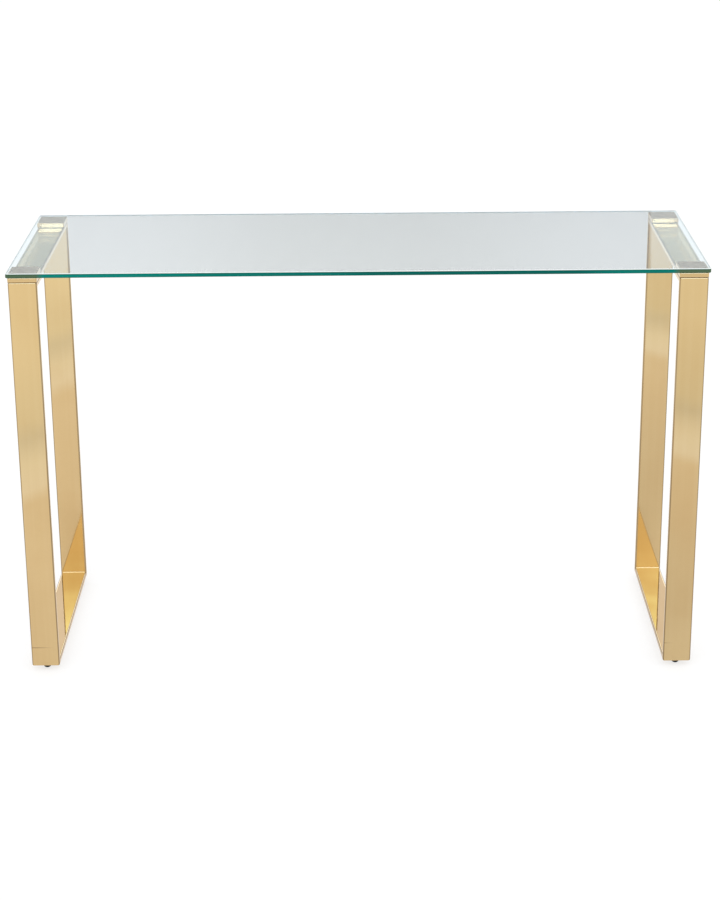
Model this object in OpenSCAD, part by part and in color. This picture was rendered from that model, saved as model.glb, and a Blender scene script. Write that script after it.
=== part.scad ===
// Console table: a toughened glass top on two closed loops of polished flat tube.
// Origin on the floor under the middle of the top, +X along the top, +Y to the back, +Z up.

/* [Glass top] */
// Length of the top
top_len = 1200; // [900:10:1400]
// Depth of the top
top_depth = 400; // [350:10:600]
// Height of the top's upper face above the floor
table_h = 750; // [700:5:780]
// Thickness of the glass
glass_t = 8; // [6:1:12]
// Radius of the top's four corners
glass_corner_r = 4; // [3:0.5:10]
// Radius of the ground and polished edge
glass_edge_r = 1.5; // [0.5:0.25:2.5]

/* [Side frames] */
// Width of the flat tube, along the top
tube_w = 50; // [50:5:80]
// Thickness of the flat tube
tube_t = 10; // [10:1:20]
// Wall of the flat tube
wall = 1.5; // [1.2:0.1:2]
// Outside corner radius of the flat tube
tube_r = 3; // [2:0.5:4]
// How far the glass stands past the frames on every side
oversail = 3; // [1:1:10]
// Height of each leg's butt weld above the underside of the frame
weld_h = 36; // [25:1:80]

/* [Glass pads] */
// Side of the square pads between the frames and the glass
pad_size = 50; // [40:1:50]
// Thickness of the pads
pad_t = 9; // [8.5:0.5:12]
// Radius of the pads' edges
pad_r = 1.5; // [0.5:0.25:2]
// Thickness of the bond between a pad and the glass
bond_t = 0.3; // [0.2:0.1:0.5]
// How far the bond stops short of the pad's edges
bond_inset = 1.5; // [0.5:0.5:3]

/* [Pad screws] */
// Thread diameter of the flanged button head screws
screw_d = 6; // [5:1:6]
// Length of the screws under the head
screw_len = 16; // [15:1:17]
// Distance between a pad's two screws
screw_pitch = 26; // [22:1:28]
// Flange diameter of the screws
flange_d = 13.6; // [12:0.2:14]
// Flange thickness of the screws
flange_t = 1; // [0.8:0.1:1.4]
// Button diameter of the screws
button_d = 10.5; // [9.5:0.1:11]
// Height of the whole screw head
head_t = 3.3; // [3:0.1:3.6]
// Width across flats of the screws' hexagon socket
socket_af = 4; // [3:0.5:4]
// Depth of the hexagon socket
socket_depth = 2.1; // [1.5:0.1:2.4]

/* [Feet] */
// Height of the feet when they are screwed right in
foot_h = 10; // [8:1:14]
// Largest diameter of the domed glides
glide_d = 15; // [14:1:22]
// Diameter of the flat that the glides stand on
contact_d = 5; // [4:1:8]
// Height of the glides' dome
dome_h = 6.5; // [5:0.5:7]
// Distance of the feet behind the frame's outer face
foot_inset = 17; // [17:1:40]
// Thread diameter of the feet's studs
stud_d = 6; // [5:1:6]
// Outer diameter of the threaded bushes
bush_d = 10; // [9:0.5:12]
// Length of the threaded bushes
bush_len = 6; // [5:0.5:6]

/* [Hidden] */
$fn = 48;
CORNERS = [
    ["front_left", -1, -1],
    ["front_right", 1, -1],
    ["rear_left", -1, 1],
    ["rear_right", 1, 1],
];
SIDES = [["left", -1], ["right", 1]];

GOLD = [0.86, 0.72, 0.47];
GLASS = [0.72, 0.86, 0.84, 0.4];
TAUPE = [0.62, 0.59, 0.57];
STEEL = [0.70, 0.71, 0.72];
ZINC = [0.76, 0.74, 0.66];
BLACK = [0.06, 0.06, 0.065];

// Half spacing of the two side frames and half depth of their loops
frame_x = top_len / 2 - oversail - tube_w / 2;
frame_y = top_depth / 2 - oversail;
// Underside and upper side of the loops
frame_low = foot_h;
frame_high = table_h - glass_t - bond_t - pad_t;
frame_h = frame_high - frame_low;
pad_y = frame_y - pad_size / 2;
foot_y = frame_y - foot_inset;
// Running clearance on each side of a thread, and of a screw in its plain hole
thread_gap = 0.05;
screw_gap = 0.3;
// Gap that keeps a screwed-in glide off the frame
glide_gap = 0.3;
// Metal left above a pad's blind tapped holes
tapped_skin = 1.5;
// Flange by which a stud is held in its glide
anchor_d = 9;
anchor_t = 2.5;
anchor_z = 4;
// Room kept between a stud's tip and the tube's upper wall
tip_gap = 1;
// How far a cutting shape runs past what it cuts
past = 1;

// Rectangle with round corners, centred
module soft_rect(w, h, r) {
    square([w - 2 * r, h], center = true);
    square([w, h - 2 * r], center = true);
    for (x = [-1, 1], y = [-1, 1])
        translate([x * (w / 2 - r), y * (h / 2 - r)])
            circle(r);
}

// Slab from z = 0 to t with round upright corners and round long edges
module soft_slab(w, d, t, corner_r, edge_r) {
    intersection() {
        linear_extrude(t)
            soft_rect(w, d, corner_r);
        translate([0, 0, t / 2])
            rotate([90, 0, 90])
                linear_extrude(w + 2 * past, center = true)
                    soft_rect(d, t, edge_r);
        translate([0, 0, t / 2])
            rotate([90, 0, 0])
                linear_extrude(d + 2 * past, center = true)
                    soft_rect(w, t, edge_r);
    }
}

// Section of the flat tube, width along X and thickness along Y
module tube_section() {
    difference() {
        soft_rect(tube_w, tube_t, tube_r);
        soft_rect(tube_w - 2 * wall, tube_t - 2 * wall, tube_r - wall);
    }
}

// Tube along +Z whose outer face looks along +Y; a mitred end is len long on that face only
module tube_piece(len, mitre_low, mitre_high) {
    out = tube_t / 2 + past;
    rise = tube_t + past;
    intersection() {
        linear_extrude(len)
            tube_section();
        rotate([90, 0, 90])
            linear_extrude(tube_w + 2 * past, center = true)
                polygon([
                    [out, mitre_low ? -past : 0],
                    [out, mitre_high ? len + past : len],
                    [-out, mitre_high ? len - rise : len],
                    [-out, mitre_low ? rise : 0],
                ]);
    }
}

// Places its children on the loop's front side, then turns them to the back where y is 1
module on_leg(side, y, z) {
    translate([side * frame_x, y * (frame_y - tube_t / 2), z])
        rotate([0, 0, y < 0 ? 180 : 0])
            children();
}

module glass_top() {
    color(GLASS)
        translate([0, 0, table_h - glass_t])
            soft_slab(top_len, top_depth, glass_t, glass_corner_r, glass_edge_r);
}

module top_rail(side) {
    color(GOLD)
        difference() {
            translate([side * frame_x, frame_y, frame_high - tube_t / 2])
                rotate([90, 0, 0])
                    tube_piece(2 * frame_y, true, true);
            at_pad_screws(side)
                translate([0, 0, frame_high - tube_t - past])
                    cylinder(h = tube_t + 2 * past, d = screw_d + 2 * screw_gap);
        }
}

module runner(side) {
    color(GOLD)
        difference() {
            translate([side * frame_x, -frame_y, frame_low + tube_t / 2])
                rotate([-90, 0, 0])
                    tube_piece(2 * frame_y, true, true);
            for (y = [-1, 1])
                translate([side * frame_x, y * foot_y, frame_low - past])
                    cylinder(h = wall + past + tip_gap, d = bush_d);
        }
}

module leg(side, y) {
    color(GOLD)
        on_leg(side, y, frame_low + weld_h)
            tube_piece(frame_h - weld_h, false, true);
}

// Short upright end of the runner, under each leg's butt weld
module heel(side, y) {
    color(GOLD)
        on_leg(side, y, frame_low)
            tube_piece(weld_h, true, false);
}

module at_pad(x, y) {
    translate([x * frame_x, y * pad_y, 0])
        children();
}

// Both screw places of one pad
module at_screws() {
    for (x = [-1, 1])
        translate([x * screw_pitch / 2, 0, 0])
            children();
}

module at_pad_screws(side) {
    for (y = [-1, 1])
        at_pad(side, y)
            at_screws()
                children();
}

module pad(x, y) {
    color(GOLD)
        at_pad(x, y)
            difference() {
                translate([0, 0, frame_high])
                    soft_slab(pad_size, pad_size, pad_t, pad_r, pad_r);
                at_screws()
                    translate([0, 0, frame_high - past])
                        cylinder(h = pad_t - tapped_skin + past, d = screw_d + 2 * thread_gap);
            }
}

module pad_bond(x, y) {
    side = pad_size - 2 * bond_inset;
    color(TAUPE)
        at_pad(x, y)
            translate([0, 0, frame_high + pad_t])
                linear_extrude(bond_t)
                    soft_rect(side, side, pad_r);
}

// Screw pointing up, with the flange's upper face at z = 0
module flanged_screw() {
    dome = head_t - flange_t;
    steps = 6;
    difference() {
        union() {
            cylinder(h = screw_len, d = screw_d);
            translate([0, 0, -flange_t])
                cylinder(h = flange_t, d = flange_d);
            rotate_extrude()
                polygon([
                    [0, -flange_t],
                    for (i = [0:steps])
                        [
                            button_d / 2 * (0.5 + 0.5 * cos(90 * i / steps)),
                            -flange_t - dome * sin(90 * i / steps)
                        ],
                    [0, -head_t],
                ]);
        }
        translate([0, 0, -head_t - past])
            cylinder(h = socket_depth + past, d = socket_af / cos(30), $fn = 6);
    }
}

module pad_screws() {
    color(ZINC)
        for (side = [-1, 1])
            at_pad_screws(side)
                translate([0, 0, frame_high - tube_t])
                    flanged_screw();
}

module at_foot(x, y) {
    translate([x * frame_x, y * foot_y, 0])
        children();
}

module foot_bush(x, y) {
    color(STEEL)
        at_foot(x, y)
            translate([0, 0, frame_low])
                difference() {
                    cylinder(h = bush_len, d = bush_d);
                    translate([0, 0, -past])
                        cylinder(h = bush_len + 2 * past, d = stud_d + 2 * thread_gap);
                }
}

// Stud with the flange that its glide is moulded round
module stud_shape() {
    tip = frame_low + tube_t - wall - tip_gap;
    translate([0, 0, anchor_z])
        cylinder(h = anchor_t, d = anchor_d);
    translate([0, 0, anchor_z])
        cylinder(h = tip - anchor_z, d = stud_d);
}

module foot_stud(x, y) {
    color(STEEL)
        at_foot(x, y)
            stud_shape();
}

module foot_glide(x, y) {
    steps = 8;
    flat_r = contact_d / 2;
    glide_r = glide_d / 2;
    top_z = foot_h - glide_gap;
    chamfer = 0.6;
    color(BLACK)
        at_foot(x, y)
            difference() {
                rotate_extrude()
                    polygon([
                        [0, 0],
                        for (i = [0:steps])
                            [
                                flat_r + (glide_r - flat_r) * sin(90 * i / steps),
                                dome_h * (1 - cos(90 * i / steps))
                            ],
                        [glide_r, top_z - chamfer],
                        [glide_r - chamfer, top_z],
                        [0, top_z],
                    ]);
                stud_shape();
            }
}

glass_top();
pad_screws();
for (c = CORNERS) {
    pad(c[1], c[2]);
    pad_bond(c[1], c[2]);
    foot_bush(c[1], c[2]);
    foot_glide(c[1], c[2]);
    foot_stud(c[1], c[2]);
}
for (s = SIDES) {
    top_rail(s[1]);
    leg(s[1], -1);
    leg(s[1], 1);
    heel(s[1], -1);
    heel(s[1], 1);
    runner(s[1]);
}
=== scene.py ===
import math

import bpy
from mathutils import Matrix, Vector, noise
from mathutils.geometry import delaunay_2d_cdt


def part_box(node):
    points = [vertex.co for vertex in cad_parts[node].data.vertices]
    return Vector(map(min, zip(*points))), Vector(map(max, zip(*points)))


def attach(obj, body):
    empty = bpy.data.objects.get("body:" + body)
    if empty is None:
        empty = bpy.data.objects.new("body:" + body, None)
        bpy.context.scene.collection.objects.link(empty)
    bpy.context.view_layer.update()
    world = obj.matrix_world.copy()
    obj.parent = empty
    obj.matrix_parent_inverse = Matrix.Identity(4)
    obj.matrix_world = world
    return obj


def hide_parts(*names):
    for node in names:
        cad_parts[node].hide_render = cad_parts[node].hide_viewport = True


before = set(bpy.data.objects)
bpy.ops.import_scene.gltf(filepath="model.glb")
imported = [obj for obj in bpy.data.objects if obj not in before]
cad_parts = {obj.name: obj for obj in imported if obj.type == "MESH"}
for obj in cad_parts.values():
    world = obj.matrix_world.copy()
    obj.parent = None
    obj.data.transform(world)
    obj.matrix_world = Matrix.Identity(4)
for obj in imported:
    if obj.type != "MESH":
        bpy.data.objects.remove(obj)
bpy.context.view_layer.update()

# A glass console table on two closed loops of mirror-polished gold flat tube. Lengths are in metres.
MM = 0.001
X, Y, Z = Vector((1, 0, 0)), Vector((0, 1, 0)), Vector((0, 0, 1))
SIDES = ("left", "right")
CORNERS = [f"{end}_{side}" for end in ("front", "rear") for side in SIDES]
SHARP_ANGLE = math.radians(32)  # turned parts shade as smooth below this angle

# Flat tube
TUBE_WALL = 1.5 * MM
TUBE_RADIUS = 3 * MM
OUTER_BEND = 1.2 * MM  # the ground outer edge of a mitred corner
INNER_BEND = 0.9 * MM  # the weld fillet inside a mitred corner
GROOVE_DEPTH = 0.20 * MM  # where a leg's butt weld was ground flush
GROOVE_REACH = 1.1 * MM
GROOVE_SHARES = (0, 0.15, 0.3, 0.5, 0.75, 1.0)  # shares of its reach where the groove has a ring
ROUND_STEPS = 8  # facets of a tube's rounded edge
BEND_STEPS = 5  # facets of half a mitred corner
FACE_STEPS = 16  # strips across a leg's outer face, for a weld that fades out along it
HOLE_STEPS = 40  # facets of a drilled hole

# Glass and pads
GLASS_CORNER = 4 * MM
GLASS_EDGE = 1.5 * MM
PAD_CORNER = 2 * MM
PAD_EDGE = 1.5 * MM
PAD_FOOT_EDGE = 0.7 * MM
# painted shade: a pad's foot is darkened up to this height, for the crevice where it sits on its rail
PAD_SEAM = 1.5 * MM  # height of the dark line at a pad's foot
TAPPED_SKIN = 1.5 * MM  # metal left above a pad's tapped holes
BOND_IN_GLASS = 0.02 * MM  # the film wets the glass, so no air shows between them
BOND_CORNER = 2 * MM
BOND_EDGE = 0.1 * MM
BEAD_INSET = 0.3 * MM  # how far inside its pad the film's rim lies, on average
BEAD_WAVE = 0.45 * MM
BEAD_RIPPLES = 140  # to a metre

# Screws and feet
THREAD_RADIUS = 3 * MM
THREAD_PITCH = 1 * MM
THREAD_DEPTH = 0.55 * MM
THREAD_GAP = 0.05 * MM
THREAD_LEAD = 1.2 * MM  # length of the chamfer at a thread's tip
THREAD_RINGS = 9  # rings of points to one turn of thread
TURNED_SIDES = 36
SCREW_HOLE_RADIUS = 3.3 * MM
SCREW_PITCH = 26 * MM
SCREW_LENGTH = 16 * MM
FLANGE_RADIUS, FLANGE_THICK = 6.8 * MM, 1 * MM
FLANGE_CHAMFER, FLANGE_SEAT_CHAMFER = 0.3 * MM, 0.25 * MM
BUTTON_RADIUS, HEAD_HEIGHT = 5.25 * MM, 3.3 * MM
SOCKET_FLATS, SOCKET_DEPTH = 4 * MM, 2.1 * MM
SOCKET_CONE, SOCKET_CHAMFER = 0.5 * MM, 0.15 * MM  # below the socket's floor, and at its mouth
BUSH_RADIUS = 5 * MM
CONTACT_RADIUS = 2.5 * MM
DOME_HEIGHT = 6.5 * MM
ANCHOR_RADIUS, ANCHOR_LOW, ANCHOR_HIGH = 4.5 * MM, 4 * MM, 6.5 * MM  # the stud's flange
STUD_THREAD_LOW = 9 * MM
FLUTES = 18
FLUTE_DEPTH = 0.42 * MM
FLUTE_LOW, FLUTE_FULL = 4.6 * MM, 6 * MM  # heights where a flute begins and reaches its depth


# ---------------------------------------------------------------- mesh helpers
class Shape:
    """Points and faces, with the normals that each face's corners shade with.

    marks holds how strongly a point shows each kind of mark, from 0 to 1: a dark seam, which is a weld
    trace on a tube and painted shade in the crevice at a pad's foot, or painted shade on a tube's
    rounded rim.
    """

    def __init__(self):
        self.points, self.faces, self.normals, self.slots = [], [], [], []
        self.marks = {"seam": {}, "rim": {}}

    def add(self, points):
        first = len(self.points)
        self.points += [Vector(p) for p in points]
        return list(range(first, len(self.points)))

    def middle(self, numbers):
        return sum((self.points[i] for i in numbers), Vector()) / len(numbers)

    def face(self, corners, normals=None, slot=0):
        """normals None means that the face is flat."""
        if normals is None:
            p = [self.points[i] for i in corners]
            flat = Vector()
            for a, b in zip(p, p[1:] + p[:1]):
                flat += a.cross(b)
            normals = [flat.normalized()] * len(corners)
        self.faces.append(list(corners))
        self.normals.append([n.copy() for n in normals])
        self.slots.append(slot)

    def flip(self):
        self.faces = [f[::-1] for f in self.faces]
        self.normals = [n[::-1] for n in self.normals]

    def build(self, name, materials, own_normals=True):
        mesh = bpy.data.meshes.new(name)
        mesh.from_pydata(self.points, [], self.faces)
        for m in materials:
            mesh.materials.append(m)
        mesh.polygons.foreach_set("material_index", self.slots)
        mesh.polygons.foreach_set("use_smooth", [True] * len(self.faces))
        for mark, values in self.marks.items():
            layer = mesh.attributes.new(mark, "FLOAT", "POINT")
            for i, value in values.items():
                layer.data[i].value = value
        if own_normals:
            mesh.normals_split_custom_set([n for face in self.normals for n in face])
        else:
            mesh.set_sharp_from_angle(angle=SHARP_ANGLE)
        mesh.update()
        piece = bpy.data.objects.new(name, mesh)
        bpy.context.scene.collection.objects.link(piece)
        return piece


def finished(piece, body, slot, *nodes):
    """The piece rides on a body and stands for those CAD nodes. slot is not used."""
    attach(piece, body)
    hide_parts(*nodes)


def centre_of(node):
    low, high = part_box(node)
    return (low + high) / 2


def circle(centre, radius, u=X, v=Y):
    return [
        centre + radius * (math.cos(a) * u + math.sin(a) * v)
        for a in (math.tau * i / HOLE_STEPS for i in range(HOLE_STEPS))
    ]


def holed_face(shape, outline, holes, normal, slot=0):
    """Fills outline less the holes, all lists of point numbers in one plane, facing along normal."""
    u = normal.orthogonal().normalized()
    v = normal.cross(u)
    numbers = [i for ring in (outline, *holes) for i in ring]
    flat = [Vector((shape.points[i].dot(u), shape.points[i].dot(v))) / MM for i in numbers]
    edges, first = [], 0
    for ring in (outline, *holes):
        edges += [(first + k, first + (k + 1) % len(ring)) for k in range(len(ring))]
        first += len(ring)
    _, _, faces, origin, _, _ = delaunay_2d_cdt(flat, edges, [], 1, 1e-5)
    middles = [shape.middle(ring) for ring in holes]
    reach = [(shape.points[ring[0]] - m).length for ring, m in zip(holes, middles)]
    for f in faces:
        corners = [numbers[origin[i][0]] for i in f]
        middle = shape.middle(corners)
        if any((middle - m).length < r for m, r in zip(middles, reach)):
            continue
        a, b, c = (shape.points[i] for i in corners[:3])
        if (b - a).cross(c - a).dot(normal) < 0:
            corners.reverse()
        shape.face(corners, [normal] * len(corners), slot)


# ---------------------------------------------------------------- materials
class Graph:
    """A shader node tree, built by calls that nest."""

    def __init__(self, owner):
        owner.use_nodes = True
        self.tree = owner.node_tree
        self.tree.nodes.clear()

    def __call__(self, kind, inputs=None, **props):
        node = self.tree.nodes.new(kind)
        for key, value in props.items():
            setattr(node, key, value)
        for key, value in (inputs or {}).items():
            if isinstance(value, bpy.types.NodeSocket):
                self.tree.links.new(value, node.inputs[key])
            else:
                node.inputs[key].default_value = value
        return node.outputs

    def place(self):
        return self("ShaderNodeTexCoord")["Object"]

    def mark(self, name):
        return self("ShaderNodeAttribute", attribute_name=name)["Fac"]

    def noise(self, scale, detail, stretch=(1, 1, 1), roughness=0.5):
        """Noise of about 0.5 on average, drawn out along the axes where stretch is small."""
        where = self("ShaderNodeMapping", {"Vector": self.place(), "Scale": stretch})["Vector"]
        inputs = {"Vector": where, "Scale": scale, "Detail": detail, "Roughness": roughness}
        return self("ShaderNodeTexNoise", inputs)["Fac"]

    def ease(self, value, low, high, to_low=0.0, to_high=1.0):
        """value between low and high, eased to run from to_low to to_high."""
        source = {"Value": value, "From Min": low, "From Max": high}
        inputs = {**source, "To Min": to_low, "To Max": to_high}
        return self("ShaderNodeMapRange", inputs, interpolation_type="SMOOTHSTEP")["Result"]

    def band(self, value, rise, fall):
        """1 from the end of rise to the start of fall, and eased to 0 outside them."""
        return self.product(self.ease(value, *rise), self.ease(value, *fall, 1, 0))

    def math(self, operation, a, b=0.0):
        return self("ShaderNodeMath", {0: a, 1: b}, operation=operation)["Value"]

    def product(self, first, *others):
        for other in others:
            first = self.math("MULTIPLY", first, other)
        return first

    def inverse(self, share):
        return self.math("SUBTRACT", 1.0, share)

    def blend(self, share, a, b):
        """Colour a, or b where share is 1."""
        return self("ShaderNodeMix", {0: share, 6: a, 7: b}, data_type="RGBA", clamp_factor=True)[2]

    def scaled(self, colour, factor):
        return self("ShaderNodeVectorMath", {0: colour, "Scale": factor}, operation="SCALE")["Vector"]

    def total(self, first, *others):
        """Sum of colours."""
        for other in others:
            first = self("ShaderNodeVectorMath", {0: first, 1: other}, operation="ADD")["Vector"]
        return first

    def bump(self, height, distance, strength, under=None):
        inputs = {"Height": height, "Distance": distance, "Strength": strength}
        if under is not None:
            inputs["Normal"] = under
        return self("ShaderNodeBump", inputs)["Normal"]

    def surface(self, inputs, volume=None):
        out = {"Surface": self("ShaderNodeBsdfPrincipled", inputs)["BSDF"]}
        if volume is not None:
            out["Volume"] = volume
        self("ShaderNodeOutputMaterial", out)


def gold(name, light, dark, along):
    """Polished, gold-coated steel. along lays the polishing lines. Rounded rims take painted shade in
    dark brown; seams take a darker brown, a weld trace on a tube and painted crevice shade at a pad's
    foot.
    """
    material = bpy.data.materials.new(name)
    g = Graph(material)
    pale, warm = (0.80, 0.63, 0.35, 1), (0.62, 0.40, 0.17, 1)
    rim_shade, weld_trace_and_crevice_shade = (0.15, 0.095, 0.05, 1), (0.10, 0.055, 0.03, 1)
    coating = g.ease(g.noise(3.1, 2), 0.36, 0.64)
    streaks = g.ease(g.noise(120, 1, along), 0.35, 0.7, 0, 0.10)
    cloud = g.ease(g.noise(17, 3), 0.45, 0.75, 0, 0.10)
    lines = g.noise(900, 2, along, 0.6)
    colour = g.blend(coating, light, dark)
    colour = g.blend(streaks, colour, pale)
    colour = g.blend(cloud, colour, warm)
    # painted shade in dark brown along a tube's rounded rims
    colour = g.blend(g.product(g.mark("rim"), 0.72), colour, rim_shade)
    # dark brown seams: a weld trace on a tube, and painted shade of the crevice at a pad's foot
    colour = g.blend(g.mark("seam"), colour, weld_trace_and_crevice_shade)
    rough = g.ease(lines, 0.3, 0.75, 0.03, 0.06)
    rough = g.math("ADD", rough, g.product(g.mark("seam"), 0.2))
    waves = g.bump(g.noise(6, 2), 0.8 * MM, 0.5)
    polish = g.bump(lines, 0.003 * MM, 0.5, waves)
    g.surface({"Base Color": colour, "Metallic": 1.0, "Roughness": rough, "Normal": polish})
    return material


def clear_glass():
    """Clear toughened float glass, with the slight roller wave that toughening leaves."""
    material = bpy.data.materials.new("clear_glass")
    g = Graph(material)
    wave = g.noise(5.5, 1, (1, 0.15, 1))
    smears = g.noise(24, 4, (1, 2.2, 1), 0.6)
    rough = g.ease(smears, 0.62, 0.85, 0.0, 0.025)
    tint = {"Color": (0.50, 0.90, 0.90, 1), "Density": 12.0}
    absorb = g("ShaderNodeVolumeAbsorption", tint)["Volume"]
    inputs = {
        "Base Color": (1, 1, 1, 1),
        "Roughness": rough,
        "IOR": 1.52,
        "Transmission Weight": 1.0,
        "Normal": g.bump(wave, 0.05 * MM, 0.5),
    }
    g.surface(inputs, absorb)
    return material


def edge_glass():
    """The polished edge, opaque: green, deeper right of the middle, with a painted olive view of a pad
    where one shows through it.

    Under a painted highlight along its lip, its upper arris takes painted shade at the front, and at the
    rear a painted view of the floor showing through it. Its foot takes painted shade. Seen from within
    the glass it is painted pale, as a painted reflection.
    """
    material = bpy.data.materials.new("edge_glass")
    g = Graph(material)
    green, deep_green = (0.001, 0.205, 0.165, 1), (0.0005, 0.105, 0.085, 1)
    fleck_green, pad_seen_through = (0.01, 0.26, 0.21, 1), (0.080, 0.120, 0.062, 1)
    arris_shade, foot_shade = (0.002, 0.060, 0.045, 1), (0.002, 0.070, 0.050, 1)
    floor_seen_through, lip_highlight = (0.92, 0.97, 0.96, 1), (0.90, 0.97, 0.96, 1)
    reflection_within = (0.93, 0.97, 0.97, 1)
    low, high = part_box("glass_top")
    pad_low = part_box("pad_rear_right")[0]
    way = g("ShaderNodeSeparateXYZ", {"Vector": g.place()})
    fade_out, fade_in = 14 * MM, 3 * MM
    # where a pad shows through the edge: a painted olive view of it
    over_pad = g.product(
        g.ease(g.math("ABSOLUTE", way["X"]), pad_low.x - fade_out, pad_low.x + fade_in),
        g.ease(g.math("ABSOLUTE", way["Y"]), pad_low.y - fade_out, pad_low.y + fade_in),
    )
    top = g.ease(way["Z"], high.z - 3 * MM, high.z - 1 * MM)
    foot = g.ease(way["Z"], low.z + 0.3 * MM, low.z + 2 * MM, 1, 0)
    drift = g.ease(g.noise(6, 2, (1, 1, 0.2)), 0.35, 0.65, 0, 0.25)
    deep = g.product(g.ease(way["X"], -0.48, 0.30), g.ease(way["X"], 0.36, 0.46, 1, 0.2))
    flecks = g.noise(320, 3, (0.25, 0.25, 1), 0.6)
    colour = g.blend(g.math("ADD", drift, deep), green, deep_green)
    colour = g.blend(g.ease(flecks, 0.55, 0.8, 0, 0.3), colour, fleck_green)
    colour = g.blend(g.product(over_pad, 0.9), colour, pad_seen_through)
    # painted shade on the front arris, and a painted view of the floor through the rear one
    arris = g.blend(g.ease(way["Y"], 0.02, 0.16), arris_shade, floor_seen_through)
    colour = g.blend(g.product(top, 0.85), colour, arris)
    # painted highlight along the lip
    lip = g.ease(way["Z"], high.z - 1.2 * MM, high.z - 0.8 * MM)
    colour = g.blend(g.product(lip, 0.9), colour, lip_highlight)
    # painted shade at the foot
    colour = g.blend(g.product(foot, 0.6), colour, foot_shade)
    # painted reflection, pale, seen from within the glass
    within = g("ShaderNodeNewGeometry")["Backfacing"]
    colour = g.blend(within, colour, reflection_within)
    inputs = {
        "Base Color": colour,
        "Roughness": g.ease(flecks, 0.3, 0.8, 0.06, 0.16),
        "IOR": 1.3,
        "Specular IOR Level": 0.12,
        "Normal": g.bump(flecks, 0.01 * MM, 0.4),
    }
    g.surface(inputs)
    return material


def bond_film():
    """Cured adhesive, seen through the glass: blotchy, with lighter specks of trapped air."""
    material = bpy.data.materials.new("bond_film")
    g = Graph(material)
    blotch = g.noise(95, 4, (1, 1, 1), 0.6)
    fine = g.noise(700, 2)
    colour = g.blend(g.ease(blotch, 0.3, 0.7), (0.62, 0.50, 0.385, 1), (0.76, 0.63, 0.500, 1))
    colour = g.blend(g.ease(fine, 0.6, 0.8, 0, 0.3), colour, (0.84, 0.73, 0.60, 1))
    rough = g.ease(blotch, 0.3, 0.7, 0.35, 0.55)
    g.surface({"Base Color": colour, "Roughness": rough, "Normal": g.bump(fine, 0.02 * MM, 0.4)})
    return material


def black_plastic():
    """Moulded black plastic with a fine spark-eroded grain, greyer where it was handled."""
    material = bpy.data.materials.new("black_plastic")
    g = Graph(material)
    grain = g.noise(2400, 3, (1, 1, 1), 0.7)
    scuff = g.ease(g.noise(240, 4, (1, 1, 0.5), 0.65), 0.55, 0.85)
    colour = g.blend(scuff, (0.004, 0.004, 0.004, 1), (0.016, 0.0155, 0.015, 1))
    rough = g.ease(grain, 0.3, 0.7, 0.42, 0.60)
    inputs = {
        "Base Color": colour,
        "Roughness": rough,
        "Specular IOR Level": 0.12,
        "Normal": g.bump(grain, 0.03 * MM, 0.5),
    }
    g.surface(inputs)
    return material


def plated_steel(name, light, dark):
    """Plated steel: cloudy passivation over turned metal."""
    material = bpy.data.materials.new(name)
    g = Graph(material)
    cloud = g.ease(g.noise(260, 3), 0.32, 0.68)
    turned = g.noise(1500, 2, (0.3, 0.3, 4))
    rough = g.ease(turned, 0.3, 0.7, 0.22, 0.38)
    bump = g.bump(turned, 0.01 * MM, 0.4)
    colour = g.blend(cloud, light, dark)
    g.surface({"Base Color": colour, "Metallic": 1.0, "Roughness": rough, "Normal": bump})
    return material


GOLD_LIGHT, GOLD_DARK = (0.75, 0.565, 0.285, 1), (0.69, 0.505, 0.245, 1)
GOLD_UPRIGHT = gold("gold_upright", GOLD_LIGHT, GOLD_DARK, (1, 1, 0.012))
GOLD_LEVEL = gold("gold_level", GOLD_LIGHT, GOLD_DARK, (1, 0.012, 1))
GOLD_PAD = gold("gold_pad", (0.68, 0.50, 0.245, 1), (0.62, 0.44, 0.210, 1), (0.03, 0.03, 1))
CLEAR_GLASS, EDGE_GLASS = clear_glass(), edge_glass()
BOND_FILM, BLACK_PLASTIC = bond_film(), black_plastic()
ZINC = plated_steel("zinc_steel", (0.62, 0.63, 0.64, 1), (0.50, 0.51, 0.53, 1))
SCREW_STEEL = plated_steel("screw_steel", (0.70, 0.65, 0.50, 1), (0.58, 0.52, 0.38, 1))


# ---------------------------------------------------------------- flat tube
def tube_outline(width, low, high, radius, strips):
    """The tube's outline between two depths under its outer face, which is split into strips.

    Each point is (x, depth, normal x, normal out, rim).
    """
    outline = []
    corners = ((1, low + radius), (-1, low + radius), (-1, high - radius), (1, high - radius))
    for k, (side, depth) in enumerate(corners):
        for i in range(ROUND_STEPS + 1):
            a = math.radians(90 * (k + i / ROUND_STEPS))
            c, s = math.cos(a), math.sin(a)
            # rim: how much painted shade this point of the rounded edge takes, most at mid-round
            rim = math.sin(math.pi * i / ROUND_STEPS) ** 2
            outline.append((side * (width / 2 - radius) + radius * c, depth - radius * s, c, s, rim))
        if k == 0:
            flat = width / 2 - radius
            outline += [(flat * (1 - 2 * i / strips), low, 0.0, 1.0, 0.0) for i in range(1, strips)]
    return outline


def mitre_stations(at, toward, depth):
    """Half of a mitred corner, from its mitre plane to where every depth runs straight.

    Each station is (place, groove, seam). place(depth) gives the position along the run and out of the
    outer face, and the normal's parts along the same two ways. groove and seam are how deep and how dark
    a weld is there, from 0 to 1.
    """

    def station(angle):
        def place(n):
            bend = OUTER_BEND + (INNER_BEND - OUTER_BEND) * n / depth
            run = at + toward * (n + bend - bend * math.sin(angle))
            return run, -(n + bend) + bend * math.cos(angle), -toward * math.sin(angle), math.cos(angle)

        return place, 0.0, 0.0

    return [station(math.radians(45 * (1 - i / BEND_STEPS))) for i in range(BEND_STEPS + 1)]


def butt_stations(at, toward):
    """A square end that was butt-welded and ground, as stations like those of a mitre."""

    def station(share):
        def place(n):
            return at + toward * GROOVE_REACH * share, -n, 0.0, 1.0

        return place, (1 - share) ** 2, (1 - share) ** 1.5

    return [station(share) for share in GROOVE_SHARES]


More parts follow.
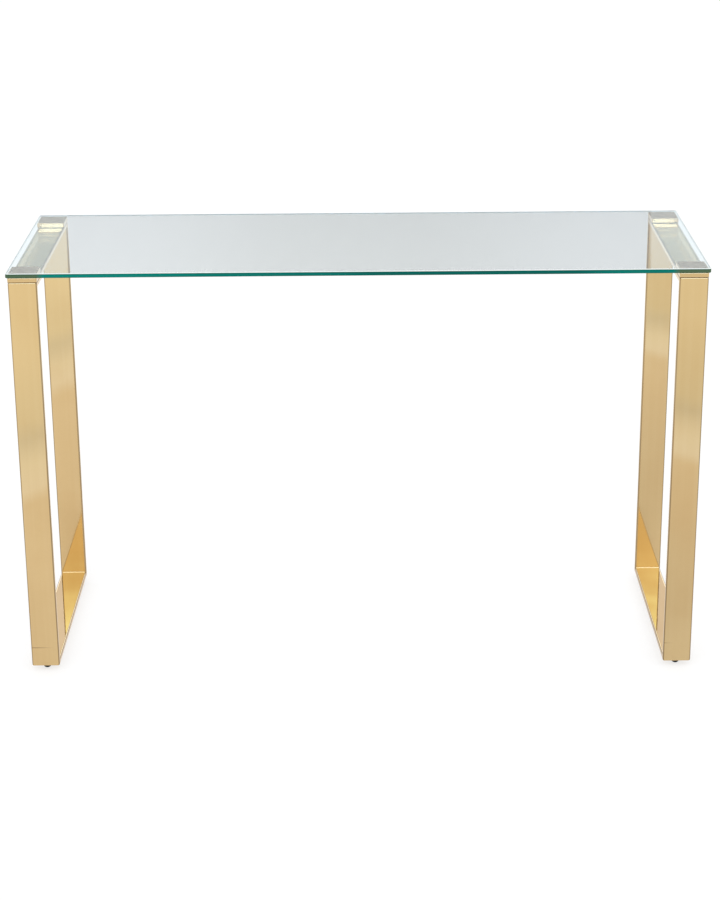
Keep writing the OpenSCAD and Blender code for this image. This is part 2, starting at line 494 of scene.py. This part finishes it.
def tube_piece(name, size, origin, run, out, start, end, material, holes, through, show):
    """A hollow flat tube along run whose outer face looks along out.

    size is (width, depth). start and end are (position along run, "mitre" or "butt"). holes are (x,
    position along run, radius), through the outer wall or, if through is true, through both. show(x) is
    how much of a butt weld shows across the outer face, from 0 to 1.
    """
    width, depth = size
    shape = Shape()
    stations = []
    for (at, kind), toward in ((start, 1), (end, -1)):
        found = mitre_stations(at, toward, depth) if kind == "mitre" else butt_stations(at, toward)
        stations += found[::toward]

    def ring(outline, place, groove, seam, cavity):
        points, normals = [], []
        first = len(shape.points)
        for k, (x, n, nx, nn, rim) in enumerate(outline):
            along, away, dir_run, dir_out = place(n)
            normal = nx * X + nn * (dir_run * run + dir_out * out)
            share = 0.0 if cavity else show(x) * max(0.0, nn)
            sunk = GROOVE_DEPTH * groove * share * normal
            points.append(origin + x * X + along * run + away * out - sunk)
            normals.append(-normal if cavity else normal)
            if not cavity:
                # seam marks a weld trace; rim carries the painted shade of a rounded edge
                shape.marks["seam"][first + k] = seam * share
                shape.marks["rim"][first + k] = rim
        return shape.add(points), normals

    strips = 1 if holes else FACE_STEPS
    outer = tube_outline(width, 0, depth, TUBE_RADIUS, strips)
    bore = width - 2 * TUBE_WALL
    inner = tube_outline(bore, TUBE_WALL, depth - TUBE_WALL, TUBE_RADIUS - TUBE_WALL, strips)
    rings = [ring(outer, *station, False) for station in stations]
    tilt_to_groove(shape, rings, stations)
    cavity_rings = [ring(inner, *station, True) for station in stations]
    straight = len(stations) // 2 - 1
    open_panels = (ROUND_STEPS, 3 * ROUND_STEPS + 2) if holes else ()  # the two flat faces
    for rows, turn in ((rings, 1), (cavity_rings, -1)):
        for j, ((a, na), (b, nb)) in enumerate(zip(rows, rows[1:])):
            for i in range(len(outer)):
                if j == straight and i in open_panels:
                    continue
                k = (i + 1) % len(outer)
                corners, normals = [a[i], a[k], b[k], b[i]], [na[i], na[k], nb[k], nb[i]]
                shape.face(corners[::turn], normals[::turn])
    for end_ring, turn in ((0, 1), (-1, -1)):
        a, b = rings[end_ring][0], cavity_rings[end_ring][0]
        for i in range(len(outer)):
            k = (i + 1) % len(outer)
            shape.face([a[i], b[i], b[k], a[k]][::turn])
    if X.cross(out).dot(run) < 0:
        shape.flip()
    if holes:
        panel = [(rows[straight][0], rows[straight + 1][0]) for rows in (rings, cavity_rings)]
        drill(shape, panel, open_panels, holes, through, origin, run, out, depth)
    return shape.build(name, [material])


def tilt_to_groove(shape, rings, stations):
    """Turns the normals of the rings in a weld's groove to suit its slope."""
    for j, (numbers, normals) in enumerate(rings):
        near = range(max(j - 1, 0), min(j + 2, len(rings)))
        if not any(stations[k][1] for k in near):
            continue
        before, after = rings[near[0]][0], rings[near[-1]][0]
        for i in range(len(numbers)):
            along = (shape.points[after[i]] - shape.points[before[i]]).normalized()
            normals[i] = (normals[i] - normals[i].dot(along) * along).normalized()


def drill(shape, panel, open_panels, holes, through, origin, run, out, depth):
    """Fills the flat panels that were left open, less the holes, and lines each hole."""
    outer, cavity = panel
    near, far = open_panels
    levels = (
        (outer, near, 0.0, out),
        (cavity, near, TUBE_WALL, -out),
        (cavity, far, depth - TUBE_WALL, out),
        (outer, far, depth, -out),
    )
    mouths = []
    for (a, b), i, deep, normal in levels:
        cut = holes if through or deep < depth / 2 else ()
        centres = [(origin + x * X + at * run - deep * out, radius) for x, at, radius in cut]
        level = [shape.add(circle(centre, radius, X, run)) for centre, radius in centres]
        holed_face(shape, [a[i], a[i + 1], b[i + 1], b[i]], level, normal)
        mouths.append(level)
    for upper, lower in (mouths[:2], mouths[2:]):
        for top, bottom in zip(upper, lower):
            line_hole(shape, top, bottom)


def line_hole(shape, a, b):
    """A hole's wall between two rings, facing its axis."""
    middle = shape.middle(a)
    axis = (shape.middle(b) - middle).normalized()

    def inward(i):
        spoke = shape.points[i] - middle
        return -(spoke - spoke.dot(axis) * axis).normalized()

    for k in range(len(a)):
        n = (k + 1) % len(a)
        corners = [a[k], a[n], b[n], b[k]]
        p, q, r = (shape.points[i] for i in corners[:3])
        if (q - p).cross(r - p).dot(inward(a[k])) < 0:
            corners.reverse()
        shape.face(corners, [inward(i) for i in corners])


def side_frame(side):
    """The six tubes of one closed loop."""
    rail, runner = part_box(f"{side}_top_rail"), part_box(f"{side}_runner")
    size = rail[1].x - rail[0].x, rail[1].z - rail[0].z
    y_low, y_high = rail[0].y, rail[1].y
    z_low, z_high = runner[0].z, rail[1].z
    weld_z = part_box(f"{side}_front_heel")[1].z
    mid = (rail[0].x + rail[1].x) / 2 * X
    pad_y, foot_y = centre_of("pad_rear_left").y, centre_of("foot_bush_rear_left").y

    def left_weld(x):
        """Plain at the outboard edge, and ground out past the middle."""
        at_middle, fall = 0.40, 1.1
        t = min(1.0, max(0.0, at_middle - fall * x / size[0]))
        return t * t * (3 - 2 * t)

    def right_weld(x):
        """Ground out but for a trace at its inboard edge."""
        at_edge, sharpness = 0.85, 8
        return at_edge * max(0.0, 0.5 - x / size[0]) ** sharpness

    show = left_weld if side == "left" else right_weld
    screw_x = SCREW_PITCH / 2
    screw_holes = [(x * screw_x, y * pad_y, SCREW_HOLE_RADIUS) for x in (-1, 1) for y in (-1, 1)]
    bush_holes = [(0, y * foot_y, BUSH_RADIUS) for y in (-1, 1)]
    across = (y_low, "mitre"), (y_high, "mitre")
    up, down = ((weld_z, "butt"), (z_high, "mitre")), ((z_low, "mitre"), (weld_z, "butt"))
    pieces = [
        ("top_rail", z_high * Z, Y, Z, across, screw_holes, True),
        ("runner", z_low * Z, Y, -Z, across, bush_holes, False),
        ("front_leg", y_low * Y, Z, -Y, up, (), True),
        ("front_heel", y_low * Y, Z, -Y, down, (), True),
        ("rear_leg", y_high * Y, Z, Y, up, (), True),
        ("rear_heel", y_high * Y, Z, Y, down, (), True),
    ]
    for part, base, run, out, (start, end), holes, through in pieces:
        name = f"{side}_{part}"
        material = GOLD_LEVEL if run == Y else GOLD_UPRIGHT
        piece = tube_piece(
            f"tube_{name}", size, mid + base, run, out, start, end, material, holes, through, show
        )
        finished(piece, "table", "gold_tube", name)


# ---------------------------------------------------------------- slabs: glass, pads, bond films
def slab(low, high, corner, low_edge, high_edge, corner_steps, edge_steps, wobble=None, seam=0.0):
    """A plate with round corners and edges. Its sides take slot 1, and its two faces are left to fill.

    wobble(point) moves the outline in or out. Up to the height seam its foot is marked as a dark seam of
    painted shade, for the crevice under it.
    """
    shape = Shape()

    def quarter(first, level, edge):
        """A rounded edge: tilts from first degrees on, each with the edge's centre height and radius."""
        tilts = [math.radians(first + 90 * i / edge_steps) for i in range(edge_steps + 1)]
        return [(tilt, level, edge) for tilt in tilts]

    turns = quarter(-90, low.z + low_edge, low_edge)
    if seam:
        turns.append((0.0, low.z + seam, low_edge))
    turns += quarter(0, high.z - high_edge, high_edge)
    rings = []
    for tilt, level, edge in turns:
        radius = corner - edge * (1 - math.cos(tilt))
        z = level + edge * math.sin(tilt)
        points, normals = [], []
        for k, (sx, sy) in enumerate(((1, 1), (-1, 1), (-1, -1), (1, -1))):
            centre = Vector((high.x if sx > 0 else low.x, high.y if sy > 0 else low.y, z))
            centre -= Vector((sx * corner, sy * corner, 0))
            for i in range(corner_steps + 1):
                a = math.radians(90 * (k + i / corner_steps))
                out = Vector((math.cos(a), math.sin(a), 0))
                p = centre + radius * out
                points.append(p if wobble is None else p + wobble(p) * out)
                normals.append(math.cos(tilt) * out + math.sin(tilt) * Z)
        numbers = shape.add(points)
        # painted shade of the crevice under the foot, darkest at the bottom
        if seam:
            darkness = min(1.0, max(0.0, (low.z + seam - z) / low_edge))
            shape.marks["seam"].update((i, darkness) for i in numbers)
        rings.append((numbers, normals))
    for (a, na), (b, nb) in zip(rings, rings[1:]):
        for i in range(len(a)):
            k = (i + 1) % len(a)
            shape.face([a[i], a[k], b[k], b[i]], [na[i], na[k], nb[k], nb[i]], 1)
    return shape, rings[0][0], rings[-1][0]


def glass_top():
    low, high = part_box("glass_top")
    shape, under, over = slab(
        low, high, GLASS_CORNER, GLASS_EDGE, GLASS_EDGE, corner_steps=12, edge_steps=6
    )
    shape.face(over, [Z] * len(over))
    shape.face(under[::-1], [-Z] * len(under))
    piece = shape.build("glass_plate", [CLEAR_GLASS, EDGE_GLASS])
    finished(piece, "table", "clear_glass", "glass_top")


def pad(corner):
    """A steel pad with two blind tapped holes in its underside."""
    low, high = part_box(f"pad_{corner}")
    shape, under, over = slab(
        low, high, PAD_CORNER, PAD_FOOT_EDGE, PAD_EDGE, corner_steps=8, edge_steps=6, seam=PAD_SEAM
    )
    shape.face(over, [Z] * len(over), 1)
    middle = (low + high) / 2
    depth, radius = high.z - low.z - TAPPED_SKIN, THREAD_RADIUS + THREAD_GAP
    mouths = []
    for side in (-1, 1):
        at = Vector((middle.x + side * SCREW_PITCH / 2, middle.y, low.z))
        mouth = shape.add(circle(at, radius))
        bottom = shape.add(circle(at + depth * Z, radius))
        line_hole(shape, mouth, bottom)
        shape.face(bottom[::-1], [-Z] * len(bottom), 1)
        mouths.append(mouth)
    holed_face(shape, under, mouths, -Z, 1)
    piece = shape.build(f"steel_pad_{corner}", [GOLD_PAD, GOLD_PAD])
    finished(piece, "table", "gold_pad", f"pad_{corner}")


def bond(corner):
    """The film, with the uneven rim of a squeezed bead."""
    low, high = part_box(f"pad_bond_{corner}")
    high = high + BOND_IN_GLASS * Z

    def squeeze(p):
        return BEAD_WAVE * noise.noise(p * BEAD_RIPPLES) - BEAD_INSET

    shape, under, over = slab(
        low, high, BOND_CORNER, BOND_EDGE, BOND_EDGE, corner_steps=6, edge_steps=2, wobble=squeeze
    )
    shape.face(over, [Z] * len(over))
    shape.face(under[::-1], [-Z] * len(under))
    piece = shape.build(f"bond_film_{corner}", [BOND_FILM, BOND_FILM])
    finished(piece, "table", "pad_bond", f"pad_bond_{corner}")


# ---------------------------------------------------------------- turned parts
def lathe(shape, profile, at, sides, radius_at):
    """Turns a profile of (radius, height) about a vertical axis. radius_at(r, z, angle) shapes it."""
    rows = []
    for r, z in profile:
        if r <= 0:
            rows.append(shape.add([at + z * Z]))
            continue
        ring = []
        for i in range(sides):
            a = math.tau * i / sides
            reach = radius_at(r, z, a)
            ring.append(at + Vector((reach * math.cos(a), reach * math.sin(a), z)))
        rows.append(shape.add(ring))
    for a, b in zip(rows, rows[1:]):
        for i in range(sides):
            k = (i + 1) % sides
            if len(a) == 1:
                shape.face([a[0], b[k], b[i]])
            elif len(b) == 1:
                shape.face([a[i], a[k], b[0]])
            else:
                shape.face([a[i], a[k], b[k], b[i]])


def thread_radius(low, high):
    """Radius of an M6 thread between two heights, with its lead-in chamfer at the high end."""

    def at(r, z, angle):
        if r < THREAD_RADIUS - 1e-9 or not low < z < high:
            return r
        turn = (z / THREAD_PITCH - angle / math.tau) % 1
        flank = min(1.0, max(0.0, abs(2 * turn - 1) * 1.5 - 0.2))  # with a flat crest and root
        tip = max(0.0, 1 - (high - z) / THREAD_LEAD)
        return r - THREAD_DEPTH * max(flank, tip)

    return at


def threaded_profile(low, high):
    rows = round((high - low) / THREAD_PITCH * THREAD_RINGS)
    return [(THREAD_RADIUS, low + (high - low) * i / rows) for i in range(rows + 1)]


def screw(shape, at):
    """A flanged button head screw that points up, and whose flange bears on the surface at at."""
    steps = 8
    dome = HEAD_HEIGHT - FLANGE_THICK
    socket = SOCKET_FLATS / 2 / math.cos(math.radians(30))
    mouth = 1.06 * socket
    floor = -HEAD_HEIGHT + SOCKET_DEPTH
    shank_low, thread_low = 0.4 * MM, 0.8 * MM

    def hexagon(angle):
        sector = math.radians(60)
        return socket * math.cos(sector / 2) / math.cos((angle + sector / 2) % sector - sector / 2)

    def shaped(r, z, angle):
        if r == socket:
            return hexagon(angle)
        return thread_radius(thread_low, SCREW_LENGTH)(r, z, angle)

    profile = [(0, floor - SOCKET_CONE), (socket, floor)]
    profile += [(socket, -HEAD_HEIGHT + SOCKET_CHAMFER), (mouth, -HEAD_HEIGHT)]
    for i in range(steps, -1, -1):
        a = math.radians(90 * i / steps)
        profile.append((BUTTON_RADIUS * (0.5 + 0.5 * math.cos(a)), -FLANGE_THICK - dome * math.sin(a)))
    profile += [(FLANGE_RADIUS - FLANGE_CHAMFER, -FLANGE_THICK)]
    profile += [(FLANGE_RADIUS, FLANGE_CHAMFER - FLANGE_THICK)]
    profile += [(FLANGE_RADIUS, -FLANGE_SEAT_CHAMFER), (FLANGE_RADIUS - FLANGE_SEAT_CHAMFER, 0)]
    profile += [(THREAD_RADIUS, 0), *threaded_profile(shank_low, SCREW_LENGTH), (0, SCREW_LENGTH)]
    lathe(shape, profile, at, TURNED_SIDES, shaped)


def pad_screws():
    shape = Shape()
    for corner in CORNERS:
        middle = centre_of(f"pad_{corner}")
        side = corner.split("_")[1]
        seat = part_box(f"{side}_top_rail")[0].z
        for way in (-1, 1):
            screw(shape, Vector((middle.x + way * SCREW_PITCH / 2, middle.y, seat)))
    piece = shape.build("button_screws", [SCREW_STEEL], own_normals=False)
    finished(piece, "table", "screw_steel", "pad_screws")


def glide(corner):
    """A domed glide with finger flutes round its rim, moulded round its stud's flange."""
    low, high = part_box(f"foot_glide_{corner}")
    at = centre_of(f"foot_glide_{corner}") * Vector((1, 1, 0))
    radius, top = (high.x - low.x) / 2, high.z
    steps = 12
    dimple = 0.15 * MM
    dimple_radius, stand_radius = CONTACT_RADIUS - 0.5 * MM, CONTACT_RADIUS - 0.2 * MM
    skirt_low, skirt_high = top - 1.6 * MM, top - 0.6 * MM
    brim = 0.5 * MM

    profile = [(0, dimple), (dimple_radius, dimple), (stand_radius, 0)]
    for i in range(steps + 1):
        a = math.radians(90 * i / steps)
        reach = CONTACT_RADIUS + (radius - CONTACT_RADIUS) * math.sin(a)
        profile.append((reach, DOME_HEIGHT * (1 - math.cos(a))))
    profile += [(radius, skirt_low), (radius, skirt_high)]
    profile += [(radius - 0.3 * brim, top - 0.5 * brim), (radius - brim, top)]
    profile += [(THREAD_RADIUS, top), (THREAD_RADIUS, ANCHOR_HIGH)]
    profile += [(ANCHOR_RADIUS, ANCHOR_HIGH), (ANCHOR_RADIUS, ANCHOR_LOW), (0, ANCHOR_LOW)]

    def fluted(r, z, angle):
        if r <= 0.85 * radius:
            return r
        share = min(1.0, max(0.0, (z - FLUTE_LOW) / (FLUTE_FULL - FLUTE_LOW)))
        return r - FLUTE_DEPTH * share * max(0.0, math.cos(FLUTES * angle)) ** 2

    shape = Shape()
    lathe(shape, profile, at, 8 * FLUTES, fluted)
    piece = shape.build(f"domed_glide_{corner}", [BLACK_PLASTIC], own_normals=False)
    finished(piece, f"foot_{corner}", "black_glide", f"foot_glide_{corner}")


def stud(corner):
    """An M6 stud with the flange that the glide is moulded round."""
    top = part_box(f"foot_stud_{corner}")[1].z
    at = centre_of(f"foot_stud_{corner}") * Vector((1, 1, 0))
    profile = [(0, ANCHOR_LOW), (ANCHOR_RADIUS, ANCHOR_LOW)]
    profile += [(ANCHOR_RADIUS, ANCHOR_HIGH), (THREAD_RADIUS, ANCHOR_HIGH)]
    profile += [*threaded_profile(STUD_THREAD_LOW, top), (0, top)]
    shape = Shape()
    lathe(shape, profile, at, TURNED_SIDES, thread_radius(STUD_THREAD_LOW, top))
    piece = shape.build(f"threaded_stud_{corner}", [ZINC], own_normals=False)
    finished(piece, f"foot_{corner}", "zinc_steel", f"foot_stud_{corner}")


def bush(corner):
    """A plain weld-in bush: the CAD node's shape is right, so it only takes its finish."""
    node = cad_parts[f"foot_bush_{corner}"]
    for place in node.material_slots:
        place.material = ZINC


for side in SIDES:
    side_frame(side)
glass_top()
pad_screws()
for corner in CORNERS:
    pad(corner)
    bond(corner)
    glide(corner)
    stud(corner)
    bush(corner)


# ---------------------------------------------------------------- floor, light, camera
def studio_floor():
    """A softly glowing white floor. Polished metal sees rings of light and shade on it instead."""
    half = 30.0
    corners = [(-half, -half, 0), (half, -half, 0), (half, half, 0), (-half, half, 0)]
    mesh = bpy.data.meshes.new("studio_floor")
    mesh.from_pydata(corners, [], [(0, 1, 2, 3)])
    floor = bpy.data.objects.new("studio_floor", mesh)
    bpy.context.scene.collection.objects.link(floor)
    material = bpy.data.materials.new("floor_paint")
    g = Graph(material)
    place = g.place()
    centre, reach = (0.12, -0.40, 0), 3.0
    away = g("ShaderNodeVectorMath", {0: place, 1: centre}, operation="DISTANCE")["Value"]
    rings = [
        (0.00, (0.80, 0.80, 0.84)),
        (0.45, (0.84, 0.83, 0.87)),
        (0.80, (0.90, 0.86, 0.87)),
        (1.02, (0.93, 0.90, 0.92)),
        (1.08, (1.02, 1.06, 1.22)),
        (1.20, (1.00, 1.04, 1.16)),
        (1.34, (0.84, 0.87, 0.95)),
        (1.44, (0.92, 0.93, 0.95)),
        (2.00, (0.99, 0.98, 0.98)),
        (2.90, (1.05, 1.04, 1.03)),
    ]
    ramp = g.tree.nodes.new("ShaderNodeValToRGB")
    for _ in rings[2:]:
        ramp.color_ramp.elements.new(0.5)
    for stop, (radius, tint) in zip(ramp.color_ramp.elements, rings):
        stop.position = radius / reach
        stop.color = (*tint, 1)
    g.tree.links.new(g.math("DIVIDE", away, reach), ramp.inputs["Fac"])
    sideways = g("ShaderNodeSeparateXYZ", {"Vector": place})["X"]
    black = (0, 0, 0, 1)
    mirrored = g.blend(g.ease(sideways, -0.6, 0.9, 0.0, 0.06), ramp.outputs["Color"], black)
    tone = g.blend(g.ease(g.noise(0.7, 2), 0.3, 0.7), (1.0, 1.0, 1.0, 1), (0.985, 0.985, 0.99, 1))
    seen = g("ShaderNodeLightPath")["Is Glossy Ray"]
    colour = g.blend(seen, tone, mirrored)
    bounced, glow = 0.30, 0.72  # the share of light that it sends back, and what it gives off itself
    inputs = {
        "Base Color": g.blend(1 - bounced, colour, black),
        "Roughness": 0.85,
        "Specular IOR Level": 0.0,
        "Emission Color": colour,
        "Emission Strength": glow,
    }
    g.surface(inputs)
    mesh.materials.append(material)


def studio_world():
    """White to the eye and as a light. Polished metal and glass see a studio instead.

    It has a hazy backdrop and two soft glints behind the table, a bright ceiling and two cool soft boxes
    ahead, and dark flags at the sides.
    """
    world = bpy.data.worlds.new("studio")
    bpy.context.scene.world = world
    g = Graph(world)
    way = g("ShaderNodeSeparateXYZ", {"Vector": g("ShaderNodeTexCoord")["Generated"]})
    side, height = g.math("ABSOLUTE", way["X"]), way["Z"]
    behind = g.ease(way["Y"], -0.2, 0.2)

    haze = g.band(height, (0.06, 0.17), (0.28, 0.42))
    between = g.ease(side, 0.142, 0.144, 1, 0)  # the glass's view between the rear legs
    depth = g.math(
        "MAXIMUM",
        g.product(between, g.ease(side, 0.02, 0.13, 0.78, 0.58)),
        g.ease(way["X"], -0.1, 0.1, 0.09, 0.03),
    )
    haze_tint = g.blend(between, (0.86, 0.95, 1.04, 1), (0.87, 0.90, 1.04, 1))
    backdrop = g.blend(haze, (0.97, 0.94, 1.05, 1), haze_tint)
    backdrop = g.scaled(backdrop, g.inverse(g.product(haze, depth)))

    cool_band = g.product(g.band(height, (0.405, 0.455), (0.52, 0.62)), g.ease(side, 0.22, 0.34, 1, 0))
    ceiling = g.total(
        g.scaled((1, 1, 1), g.ease(height, 0.05, 0.35, 1.05, 1.27)),
        g.scaled((0.30, 0.30, 0.30), g.ease(height, 0.52, 0.62)),
        g.scaled((0.85, 1.87, 3.00), cool_band),
    )
    box = g.product(
        g.band(height, (0.16, 0.20), (0.31, 0.35)),
        g.band(side, (0.08, 0.12), (0.19, 0.24)),
        g.inverse(behind),
    )
    glint = g.product(
        g.band(height, (0.28, 0.33), (0.46, 0.52)),
        g.band(side, (0.175, 0.205), (0.34, 0.40)),
        behind,
    )
    flag = g.product(
        g.band(side, (0.42, 0.60), (0.88, 0.97)),
        g.ease(height, 0.0, 0.08),
        g.ease(height, 0.12, 0.24, 0.75, 0.35),
    )
    room = g.scaled(g.blend(behind, ceiling, backdrop), g.inverse(flag))
    mirrored = g.total(
        room,
        g.scaled((2.8, 4.5, 9.6), box),
        g.scaled((2.0, 2.3, 3.0), glint),
    )
    seen = g("ShaderNodeLightPath")["Is Glossy Ray"]
    colour = g.blend(seen, (1.05, 1.05, 1.05, 1), mirrored)
    background = g("ShaderNodeBackground", {"Color": colour, "Strength": 1.0})["Background"]
    g("ShaderNodeOutputWorld", {"Surface": background})


def soft_light(name, place, target, size, watts):
    data = bpy.data.lights.new(name, "AREA")
    data.shape, data.size, data.energy = "SQUARE", size, watts
    light = bpy.data.objects.new(name, data)
    light.location = place
    light.rotation_euler = (Vector(target) - Vector(place)).to_track_quat("-Z", "Y").to_euler()
    light.visible_glossy = False
    bpy.context.scene.collection.objects.link(light)


def camera():
    """A short telephoto in front of the table, nearly a metre above its top and looking down on it."""
    place = (0.002, -3.49, 1.692)
    pitch, roll = math.radians(18.5), math.radians(-0.45)
    data = bpy.data.cameras.new("camera")
    data.sensor_width, data.lens, data.shift_y = 36, 80.6, -0.1
    cam = bpy.data.objects.new("camera", data)
    bpy.context.scene.collection.objects.link(cam)
    cam.matrix_world = (
        Matrix.Translation(place)
        @ Matrix.Rotation(math.radians(90) - pitch, 4, "X")
        @ Matrix.Rotation(roll, 4, "Z")
    )
    bpy.context.scene.camera = cam


studio_floor()
studio_world()
soft_light("key", place=(-1.6, -2.6, 3.4), target=(0, -0.6, 0), size=2.6, watts=14)
soft_light("fill", place=(2.2, -1.2, 3.0), target=(0, 0, 0.3), size=2.2, watts=6)
camera()
bpy.context.scene.view_settings.view_transform = "Standard"
bpy.context.scene.view_settings.look = "None"
